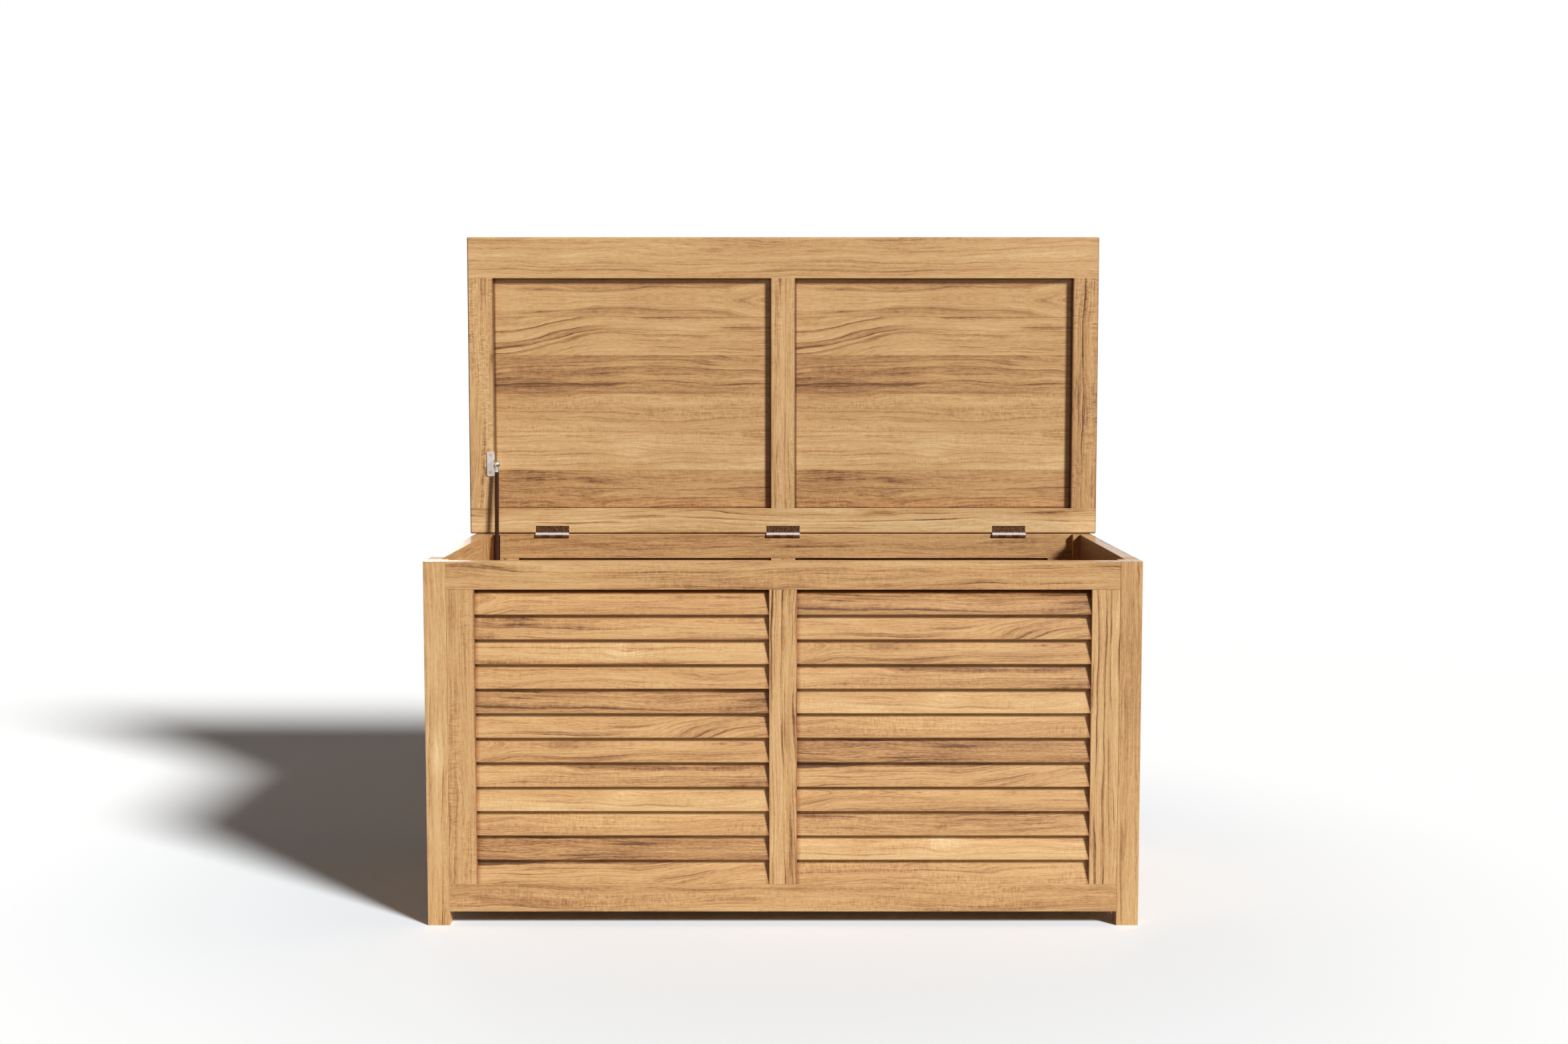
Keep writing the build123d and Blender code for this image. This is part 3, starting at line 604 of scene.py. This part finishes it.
# Each bay: the axis it runs along, the side it is on, its turn, and the number of its lowest slat
louvre_bays = {
    "front_left": ("x", -1, 0.0, 11),
    "front_right": ("x", -1, 0.0, 15),
    "rear_left": ("x", 1, pi, 31),
    "rear_right": ("x", 1, pi, 45),
    "left_side": ("y", -1, -pi / 2, 62),
    "right_side": ("y", 1, pi / 2, 76),
}
for bay, (run, side, turn, lowest_number) in louvre_bays.items():
    low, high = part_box(bay + "_louvres")
    middle = (low + high) / 2
    length = (high.x - low.x) if run == "x" else (high.y - low.y)
    if run == "x":
        post_low, post_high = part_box("front_left_post")[0].y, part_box("rear_left_post")[1].y
        outer = Vector((middle.x, post_low if side < 0 else post_high, 0))
    else:
        post_low, post_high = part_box("front_left_post")[0].x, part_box("front_right_post")[1].x
        outer = Vector((post_low if side < 0 else post_high, middle.y, 0))
    sizes = {"Boards": slats_in_bay, "Length": length, "Width": slat_width, "Thickness": slat_thick}
    sizes.update({"Edge Round": slat_round, "Round Steps": slat_round_steps})
    sizes["First Place"] = (0.0, slat_center_in, louvre_low + slat_center_up)
    sizes.update({"Step": (0.0, 0.0, slat_pitch), "Board Turn": (pi / 2 - slat_lean, 0.0, 0.0)})
    sizes.update({"First Number": lowest_number, "Number Step": -1, "End Extra": 0.0})
    sizes.update({"Cut Low": louvre_low, "Cut High": louvre_high, "Cut Slope": tan(slat_lean)})
    sizes.update({"Row Turn": (0.0, 0.0, turn), "Row Place": tuple(outer), "Finish": slat_finish})
    slats = grow(bay + "_slats", board_row, sizes)
    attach(slats, "chest")
    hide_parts(bay + "_louvres")

# Floor of the chest: loose teak boards from front to back, lying on two ledgers that are screwed
# to the bottom rails, with gaps between them for air.
dress_timber("front_floor_ledger", "long", 24.0, Tone=-0.05)
dress_timber("rear_floor_ledger", "long", 25.0, Tone=-0.05)
floor_low, floor_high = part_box("floor_boards")
floor_count = 12
floor_gap = 0.004
floor_edge_round = 0.001
floor_round_steps = 2
floor_first_number = 90
floor_pitch = (floor_high.x - floor_low.x + floor_gap) / floor_count
floor_finish = dress_boards("teak_floor_board", figure_side=1.0, tone_shift=0.0, second_tone=0.5)
floor_middle = (floor_low + floor_high) / 2
floor_start = floor_middle.x - floor_pitch * (floor_count - 1) / 2
# A row that lies where it belongs and isn't cut off at any height
uncut_row = {"Cut Low": -1.0, "Cut High": 5.0, "Cut Slope": 0.0}
uncut_row.update({"Row Turn": (0.0, 0.0, 0.0), "Row Place": (0.0, 0.0, 0.0)})
floor_sizes = {**uncut_row, "Boards": floor_count, "Length": floor_high.y - floor_low.y}
floor_sizes.update({"Width": floor_pitch - floor_gap, "Thickness": floor_high.z - floor_low.z})
floor_sizes.update({"Edge Round": floor_edge_round, "Round Steps": floor_round_steps})
floor_sizes["First Place"] = (floor_start, floor_middle.y, floor_middle.z)
floor_sizes.update({"Step": (floor_pitch, 0.0, 0.0), "Board Turn": (0.0, 0.0, pi / 2)})
floor_sizes.update({"First Number": floor_first_number, "Number Step": 1, "End Extra": 0.0})
floor_sizes["Finish"] = floor_finish
floor_slats = grow("floor_slats", board_row, floor_sizes)
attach(floor_slats, "chest")
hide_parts("floor_boards")

# Lid frame: two teak rails over the whole width, with stiles and a mullion tenoned between them.
# Its outer edges are rounded over, and it stands open with its underside to the front.
lid_cuts = {
    "front_rail": ("long", 26.0, {"Tone": 0.07, "Rings": 0.8, "Smudges": 0.2, "Streaks": 0.2}),
    "rear_rail": ("long", 27.0, {"Tone": 0.21, "Rings": 1.5, "Streaks": 0.9}),
    "left_stile": (
        "upright", 28.6,
        {"Tone": 0.12, "Ripple": 1.6, "Rings": 0.9, "Streaks": 0.55, "Smudges": 0.7},
    ),
    "mullion": (
        "upright", 29.6,
        {"Tone": 0.18, "Ripple": 0.9, "Rings": 1.8, "Streaks": 0.9, "Smudges": 0.5},
    ),
    "right_stile": (
        "upright", 30.0,
        {"Tone": -0.06, "Streaks": 0.5, "Rings": 1.3, "Ripple": 1.3, "Smudges": 0.75},
    ),
}
lid_frame_teak = {}
for member, (grain, seed, amounts) in lid_cuts.items():
    lid_frame_teak[member] = dress_timber("lid_" + member, grain, seed, **amounts)

# Lid panels: six teak boards in each half of the lid, edge to edge with a small vee between them,
# held loose in a groove all round the frame.
lid_finish = dress_boards("teak_lid_board", figure_side=-1.0, tone_shift=0.022, second_tone=0.36)
boards_in_panel = 6
groove_depth = 0.008
lid_edge_round = 0.0003
lid_first_number = 121
# Painted shade: darker along the panels' upper edge under the front rail and lower edge over the rear
# rail, at the board ends by the stiles and mullion, and along the lower front edge of the rear rail.
lower_groove_painted_shade = (0.004, 0.2)
upper_groove_painted_shade = (0.006, 0.3)
panel_end_painted_shade = (0.005, 0.25)
rail_corner_painted_shade = (0.005, 0.2)
lid_edge_darkening = (0.004, 0.4)


def height_over(material, level):
    """How high a point lies above a level line, in the bench's own measure."""
    tree = material.node_tree
    return maths(tree, "SUBTRACT", one_axis(tree, own_place(tree), "Z"), level)


rail_low, rail_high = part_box("lid_rear_rail")
darken_towards_line(lid_finish, height_over(lid_finish, rail_high.z), *lower_groove_painted_shade)
over_front_rail = height_over(lid_finish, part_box("lid_front_rail")[0].z)
under_front_rail = maths(lid_finish.node_tree, "MULTIPLY", over_front_rail, -1.0)
darken_towards_line(lid_finish, under_front_rail, *upper_groove_painted_shade)
darken_towards_line(lid_finish, from_board_end(lid_finish, groove_depth), *panel_end_painted_shade)
rail_teak = lid_frame_teak["rear_rail"]
rail_tree = rail_teak.node_tree
rail_depth = one_axis(rail_tree, own_place(rail_tree), "Y")
from_inside = maths(rail_tree, "SUBTRACT", rail_depth, rail_low.y)
from_corner = maths(rail_tree, "MAXIMUM", height_over(rail_teak, rail_low.z), from_inside)
darken_towards_line(rail_teak, from_corner, *rail_corner_painted_shade)
# The lid's frame members are darker towards their left and right edges.
for member in lid_cuts:
    darken_side("lid_" + member, -1, *lid_edge_darkening)
    darken_side("lid_" + member, 1, *lid_edge_darkening)
for side in ("left", "right"):
    low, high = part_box("lid_" + side + "_boards")
    middle = (low + high) / 2
    pitch = (high.z - low.z - 2 * groove_depth) / boards_in_panel
    sizes = {**uncut_row, "Boards": boards_in_panel, "Length": high.x - low.x, "Width": pitch}
    sizes.update({"Thickness": high.y - low.y, "Edge Round": lid_edge_round, "Round Steps": 1})
    sizes["First Place"] = (middle.x, middle.y, low.z + groove_depth + pitch / 2)
    sizes.update({"Step": (0.0, 0.0, pitch), "Board Turn": (pi / 2, 0.0, 0.0)})
    sizes.update({"First Number": lid_first_number, "Number Step": 1, "End Extra": groove_depth})
    sizes["Finish"] = lid_finish
    panel = grow("lid_" + side + "_panel", board_row, sizes)
    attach(panel, "lid")
    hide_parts("lid_" + side + "_boards")

# Butt hinges: three pairs of bronzed steel leaves with a five-knuckle barrel and a plain pin. The upper
# leaf is let into the lid and the lower leaf into the top of the rear rail. The barrel is worn smooth to
# brown, with a painted highlight of bright steel along its upper side, and the leaves keep a mottled brown
# tarnish.
hinge_line = Vector([joint for joint in frame["joints"] if joint["name"] == "lid_hinge"][0]["pos_m"])
barrel_radius = 0.0055
barrel_fade = 0.0006
painted_highlight_band = (0.001, 0.0018)
painted_highlight_steel = srgb(224, 219, 216)
rubbed_share = 0.6
bright_gloss = -0.15
barrel_metal_loss = -0.5
tarnish_limits = (0.34, 0.68)
tarnish_dullness = 0.25
tarnish_middle = 0.12
brush_dullness = 0.08
brush_stretch = (300, 2200, 2200)
brush_bump = 0.15
brush_depth = 0.0001


def tarnished_metal(name, dark, light, roughness, metallic, cloud):
    """Metal or painted metal with soft clouds of tarnish and fine brushing along X."""
    material = bpy.data.materials.new(name)
    material.use_nodes = True
    tree = material.node_tree
    shader = tree.nodes["Principled BSDF"]
    spot = own_place(tree)
    tarnish = stretched_noise(tree, spot, (cloud, cloud, cloud), 4, 0.7, 0.4)
    brushing = stretched_noise(tree, spot, brush_stretch, 2)
    colour = colour_steps(tree, tarnish, list(zip(tarnish_limits, (dark, light))))
    rough = maths(tree, "MULTIPLY_ADD", tarnish, tarnish_dullness, roughness - tarnish_middle)
    rough = maths(tree, "MULTIPLY_ADD", brushing, brush_dullness, rough)
    bump_inputs = {"Height": brushing, "Strength": brush_bump, "Distance": brush_depth}
    bump = place_node(tree, "ShaderNodeBump", bump_inputs)
    tree.links.new(colour, shader.inputs["Base Color"])
    tree.links.new(rough, shader.inputs["Roughness"])
    tree.links.new(bump.outputs["Normal"], shader.inputs["Normal"])
    shader.inputs["Metallic"].default_value = metallic
    return material


def wear_and_highlight_barrel(material, rubbed):
    """Rubs the tarnish off the barrel to brown, and paints a highlight of bright steel along its upper
    side.
    """
    tree = material.node_tree
    shader = tree.nodes["Principled BSDF"]
    colour = shader.inputs["Base Color"].links[0].from_socket
    rough = shader.inputs["Roughness"].links[0].from_socket
    from_pin = vector_maths(tree, "SUBTRACT", own_place(tree), hinge_line)
    flat = vector_maths(tree, "MULTIPLY", from_pin, (0, 1, 1))
    reach = place_node(tree, "ShaderNodeVectorMath", {0: flat}, operation="LENGTH").outputs["Value"]
    off_barrel = band(tree, reach, barrel_radius, barrel_radius + barrel_fade)
    on_barrel = maths(tree, "SUBTRACT", 1.0, off_barrel)
    # Painted highlight: the upper side of the barrel is coloured bright steel.
    is_high = band(tree, one_axis(tree, from_pin, "Z"), *painted_highlight_band)
    painted_highlight = maths(tree, "MULTIPLY", on_barrel, is_high)
    colour = mix_colours(tree, maths(tree, "MULTIPLY", on_barrel, rubbed_share), colour, rubbed)
    colour = mix_colours(tree, painted_highlight, colour, painted_highlight_steel)
    rough = maths(tree, "MULTIPLY_ADD", painted_highlight, bright_gloss, rough)
    metallic = maths(tree, "MULTIPLY_ADD", on_barrel, barrel_metal_loss, 1.0)
    tree.links.new(colour, shader.inputs["Base Color"])
    tree.links.new(rough, shader.inputs["Roughness"])
    tree.links.new(metallic, shader.inputs["Metallic"])


leaf_metals = {}
leaf_dark = srgb(60, 37, 25)
leaf_light = srgb(146, 106, 78)
leaf_surface = {"roughness": 0.36, "metallic": 1.0, "cloud": 330.0}
for leaf, rubbed in (("upper", srgb(104, 70, 50)), ("lower", srgb(160, 116, 84))):
    metal_name = "hinge_bronzed_steel_" + leaf
    leaf_metals[leaf] = tarnished_metal(metal_name, leaf_dark, leaf_light, **leaf_surface)
    wear_and_highlight_barrel(leaf_metals[leaf], rubbed)
pin_dark = srgb(150, 140, 130)
pin_light = srgb(210, 204, 198)
pin_surface = {"roughness": 0.25, "metallic": 1.0, "cloud": 260.0}
pin_metal = tarnished_metal("hinge_pin_steel", pin_dark, pin_light, **pin_surface)
hinge_sides = ("left", "middle", "right")
for side in hinge_sides:
    for leaf, metal in leaf_metals.items():
        finish_node(side + "_hinge_" + leaf + "_leaf", metal)
finish_node("hinge_pins", pin_metal)

# Hinge screws: countersunk steel screws with a cross recess, four staggered in each leaf, driven
# into the lid and into the rear rail.
screw_dark = srgb(74, 48, 34)
screw_light = srgb(160, 122, 94)
screw_surface = {"roughness": 0.34, "metallic": 1.0, "cloud": 500.0}
screw_metal = tarnished_metal("hinge_screw_steel", screw_dark, screw_light, **screw_surface)
head_sides = 28
shank_sides = 12
second_bar_depth = 0.9


def build_screws():
    """Countersunk screws with a cross recess, their heads on the given places."""
    tree = bpy.data.node_groups.new("countersunk_screws", "GeometryNodeTree")
    sizes = {"Heads": "places", "Head Radius": 1.0, "Head Depth": 1.0, "Shank Radius": 1.0}
    sizes.update({"Length": 1.0, "Sink": 1.0, "Recess Width": 1.0, "Recess Length": 1.0})
    sizes.update({"Turn": (0, 0, 0), "Finish": None})
    given = tree_inputs(tree, sizes)
    cone_sizes = {"Vertices": head_sides, "Radius Bottom": given["Head Radius"]}
    cone_sizes.update({"Radius Top": given["Shank Radius"], "Depth": given["Head Depth"]})
    head = place_node(tree, "GeometryNodeMeshCone", cone_sizes).outputs[0]
    # The two bars of the cross are cut one after the other, the second a little shallower
    bar_depth = given["Head Depth"]
    for long_way, short_way in (("X", "Y"), ("Y", "X")):
        bar_size = {long_way: given["Recess Length"], short_way: given["Recess Width"], "Z": bar_depth}
        bar_vector = place_node(tree, "ShaderNodeCombineXYZ", bar_size).outputs[0]
        bar = place_node(tree, "GeometryNodeMeshCube", {"Size": bar_vector}).outputs[0]
        cut = place_node(tree, "GeometryNodeMeshBoolean", {"Mesh 1": head}, operation="DIFFERENCE")
        tree.links.new(bar, cut.inputs["Mesh 2"])
        head = cut.outputs[0]
        bar_depth = maths(tree, "MULTIPLY", bar_depth, second_bar_depth)
    shank_sizes = {"Vertices": shank_sides, "Radius": given["Shank Radius"], "Depth": given["Length"]}
    shank = place_node(tree, "GeometryNodeMeshCylinder", shank_sizes).outputs[0]
    middle = maths(tree, "MULTIPLY_ADD", given["Length"], 0.5, given["Head Depth"])
    shank_place = place_node(tree, "ShaderNodeCombineXYZ", {"Z": middle}).outputs[0]
    lower = {"Geometry": shank, "Translation": shank_place}
    shank = place_node(tree, "GeometryNodeTransform", lower).outputs[0]
    whole = place_node(tree, "GeometryNodeJoinGeometry")
    tree.links.new(head, whole.inputs[0])
    tree.links.new(shank, whole.inputs[0])
    sink_place = place_node(tree, "ShaderNodeCombineXYZ", {"Z": given["Sink"]}).outputs[0]
    sink = {"Geometry": whole.outputs[0], "Translation": sink_place}
    sunk = place_node(tree, "GeometryNodeTransform", sink)
    stand = {"Points": given["Heads"], "Instance": sunk.outputs[0], "Rotation": given["Turn"]}
    placed = place_node(tree, "GeometryNodeInstanceOnPoints", stand)
    real = place_node(tree, "GeometryNodeRealizeInstances", {0: placed.outputs[0]})
    dress = {"Geometry": real.outputs[0], "Material": given["Finish"]}
    finished = place_node(tree, "GeometryNodeSetMaterial", dress)
    place_node(tree, "NodeGroupOutput", {0: finished.outputs[0]})
    return tree


screw_tree = build_screws()
screw_sizes = {"Head Radius": 0.0031, "Head Depth": 0.0016, "Shank Radius": 0.0015, "Length": 0.0108}
screw_sizes.update({"Sink": 0.0002, "Recess Width": 0.0009, "Recess Length": 0.0034})


def drive_screws(node_name, body, places, turn, metal):
    """Stands new screws in the holes of one group and lets them take that group's place."""
    sizes = {**screw_sizes, "Turn": turn, "Finish": metal}
    screws = grow(node_name + "_crossed", screw_tree, sizes, places)
    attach(screws, body)
    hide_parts(node_name)


screw_steps = (-0.0255, -0.0095, 0.0095, 0.0255)
screw_rows = (0.004, 0.009)
lid_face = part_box("hinge_lid_screws")[0].y
rail_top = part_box("hinge_rail_screws")[1].z
lid_places = []
rail_places = []
for side in hinge_sides:
    leaf_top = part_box(side + "_hinge_upper_leaf")[1].z
    lower_low, lower_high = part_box(side + "_hinge_lower_leaf")
    leaf_middle = (lower_low.x + lower_high.x) / 2
    for order, step in enumerate(screw_steps):
        row = screw_rows[order % 2]
        lid_places.append((leaf_middle + step, lid_face, leaf_top - row))
        rail_places.append((leaf_middle + step, lower_high.y - row, rail_top))
drive_screws("hinge_lid_screws", "lid", lid_places, (-pi / 2, 0.0, 0.0), screw_metal)
drive_screws("hinge_rail_screws", "chest", rail_places, (pi, 0.0, 0.0), screw_metal)

# Lid stay: a telescoping strut on the left, with a dark brown tube and rod, a bright ball socket at
# each end, and two pale plates, one fixed to the lid and one to the side frame by brassy screws.
paint_gloss = 0.15
head_edge = 0.0034
# Each finish: its dark and light colour, roughness, how metallic it is, and how fine its clouds are
stay_finishes = {
    "stay_brown_paint": (srgb(48, 22, 11), srgb(62, 32, 18), 0.55, 0.0, 120.0),
    "stay_bright_steel": (srgb(168, 164, 160), srgb(222, 219, 216), 0.22, 1.0, 260.0),
    "stay_dark_plastic": (srgb(44, 34, 29), srgb(62, 50, 44), 0.5, 0.0, 260.0),
    "stay_pale_steel": (srgb(200, 193, 188), srgb(215, 209, 204), 0.36, 1.0, 150.0),
    "stay_screw_brass": (srgb(206, 166, 112), srgb(232, 196, 142), 0.4, 1.0, 400.0),
}
stay_made = {name: tarnished_metal(name, *finish) for name, finish in stay_finishes.items()}
stay_paint = stay_made["stay_brown_paint"].node_tree.nodes["Principled BSDF"]
stay_paint.inputs["Specular IOR Level"].default_value = paint_gloss
stay_parts = {
    "stay_brown_paint": ("tube", "rod"),
    "stay_bright_steel": ("lid_ball", "wall_ball", "upper_socket", "lower_socket"),
    "stay_dark_plastic": ("gland", "piston"),
    "stay_pale_steel": ("lid_plate", "wall_plate"),
}
for finish, parts in stay_parts.items():
    for part in parts:
        finish_node("stay_" + part, stay_made[finish])
stay_brass = stay_made["stay_screw_brass"]
lid_low, lid_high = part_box("stay_lid_screws")
plate_x = (lid_low.x + lid_high.x) / 2
lid_heights = (lid_low.z + head_edge, lid_high.z - head_edge)
plate_places = [(plate_x, lid_low.y, height) for height in lid_heights]
drive_screws("stay_lid_screws", "lid", plate_places, (-pi / 2, 0.0, 0.0), stay_brass)
wall_low, wall_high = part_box("stay_wall_screws")
plate_y = (wall_low.y + wall_high.y) / 2
wall_heights = (wall_low.z + head_edge, wall_high.z - head_edge)
wall_places = [(wall_high.x, plate_y, height) for height in wall_heights]
drive_screws("stay_wall_screws", "chest", wall_places, (0.0, -pi / 2, 0.0), stay_brass)

# Studio: a white floor that fades into a white surround, one sun from the front right for the slat
# shadows, a weak low fill from behind for the back, and an even sky for the rest.
floor_mesh = bpy.data.meshes.new("studio_floor")
floor_reach = 12.0
corners = [(-floor_reach, -floor_reach, 0), (floor_reach, -floor_reach, 0)]
corners += [(floor_reach, floor_reach, 0), (-floor_reach, floor_reach, 0)]
floor_mesh.from_pydata(corners, [], [(0, 1, 2, 3)])
studio_floor = bpy.data.objects.new("studio_floor", floor_mesh)
bpy.context.scene.collection.objects.link(studio_floor)
floor_paint = bpy.data.materials.new("studio_floor_white")
floor_paint.use_nodes = True
floor_tree = floor_paint.node_tree
floor_shader = floor_tree.nodes["Principled BSDF"]
floor_shader.inputs["Roughness"].default_value = 0.8
floor_shader.inputs["Specular IOR Level"].default_value = 0.1
# To the eye and in reflections the floor is white, and whiter further off: the dimmer floor close to the
# bench is painted shade. The light that it bounces is that of a dimmer, warmer floor. Past the fade the
# white surround shows through.
floor_fade = (2.9, 5.0)
far_from = (0.4, 1.7)
near_level = 1.13
far_gain = 0.42
near_tint = (0.925, 0.968, 1.0, 1.0)
far_tint = (0.91, 0.915, 0.905, 1.0)
bounce_level = 0.62
bounce_tint = (0.93, 0.89, 0.86, 1.0)


def seen_rays(tree):
    """One for what the eye, a reflection or clear glass sees, zero for bounced light."""
    rays = place_node(tree, "ShaderNodeLightPath").outputs
    seen = maths(tree, "MAXIMUM", rays["Is Camera Ray"], rays["Is Glossy Ray"])
    return maths(tree, "MAXIMUM", seen, rays["Is Transmission Ray"])


from_middle = {0: own_place(floor_tree)}
distance = place_node(floor_tree, "ShaderNodeVectorMath", from_middle, operation="LENGTH").outputs["Value"]
fade = band(floor_tree, distance, *floor_fade)
seen_floor = seen_rays(floor_tree)
# Painted shade: the floor as seen is dimmer near the bench than further off.
far_floor = band(floor_tree, distance, *far_from)
seen_level = maths(floor_tree, "MULTIPLY_ADD", far_floor, far_gain, near_level)
floor_level = maths(floor_tree, "SUBTRACT", seen_level, bounce_level)
floor_level = maths(floor_tree, "MULTIPLY_ADD", seen_floor, floor_level, bounce_level)
seen_tint = mix_colours(floor_tree, far_floor, near_tint, far_tint)
floor_white = {0: mix_colours(floor_tree, seen_floor, bounce_tint, seen_tint), "Scale": floor_level}
floor_white = place_node(floor_tree, "ShaderNodeVectorMath", floor_white, operation="SCALE")
floor_tree.links.new(floor_white.outputs[0], floor_shader.inputs["Base Color"])
clear = place_node(floor_tree, "ShaderNodeBsdfTransparent").outputs[0]
floor_mix = {0: fade, 1: floor_shader.outputs[0], 2: clear}
blend = place_node(floor_tree, "ShaderNodeMixShader", floor_mix)
floor_tree.links.new(blend.outputs[0], floor_tree.nodes["Material Output"].inputs["Surface"])
floor_mesh.materials.append(floor_paint)

sky = bpy.data.worlds.new("studio_sky")
sky.use_nodes = True
bpy.context.scene.world = sky
sky_tree = sky.node_tree
sky_level = 0.05
sky_tint = (0.71, 0.57, 0.5, 1.0)
surround_white = (1.0, 1.0, 1.0, 1.0)
background = sky_tree.nodes["Background"]
seen_sky = seen_rays(sky_tree)
sky_colour = mix_colours(sky_tree, seen_sky, sky_tint, surround_white)
sky_strength = maths(sky_tree, "MULTIPLY_ADD", seen_sky, 1.0 - sky_level, sky_level)
sky_tree.links.new(sky_colour, background.inputs["Color"])
sky_tree.links.new(sky_strength, background.inputs["Strength"])


def hang_sun(name, energy, colour, spread, direction):
    """An even light from far off, shining in the given direction."""
    light = bpy.data.lights.new(name, "SUN")
    light.energy = energy
    light.color = colour
    light.angle = radians(spread)
    lamp = bpy.data.objects.new(name, light)
    lamp.rotation_euler = Vector(direction).to_track_quat("-Z", "Y").to_euler()
    bpy.context.scene.collection.objects.link(lamp)


hang_sun("studio_sun", energy=4.0, colour=(1.0, 1.01, 1.02), spread=11.5, direction=(-0.94, 1.0, -0.83))
hang_sun("studio_fill", energy=0.8, colour=(1.0, 0.93, 0.87), spread=20, direction=(0.35, -1.0, -0.02))

camera_data = bpy.data.cameras.new("studio_camera")
camera_data.lens = 44.1
camera_data.sensor_width = 36.0
camera_data.sensor_fit = "HORIZONTAL"
camera = bpy.data.objects.new("studio_camera", camera_data)
camera_dip = 4.44
camera.location = (0.0018, -3.529, 0.9465)
camera.rotation_euler = (radians(90 - camera_dip), 0.0, 0.0)
bpy.context.scene.collection.objects.link(camera)
bpy.context.scene.camera = camera
bpy.context.scene.view_settings.view_transform = "Standard"
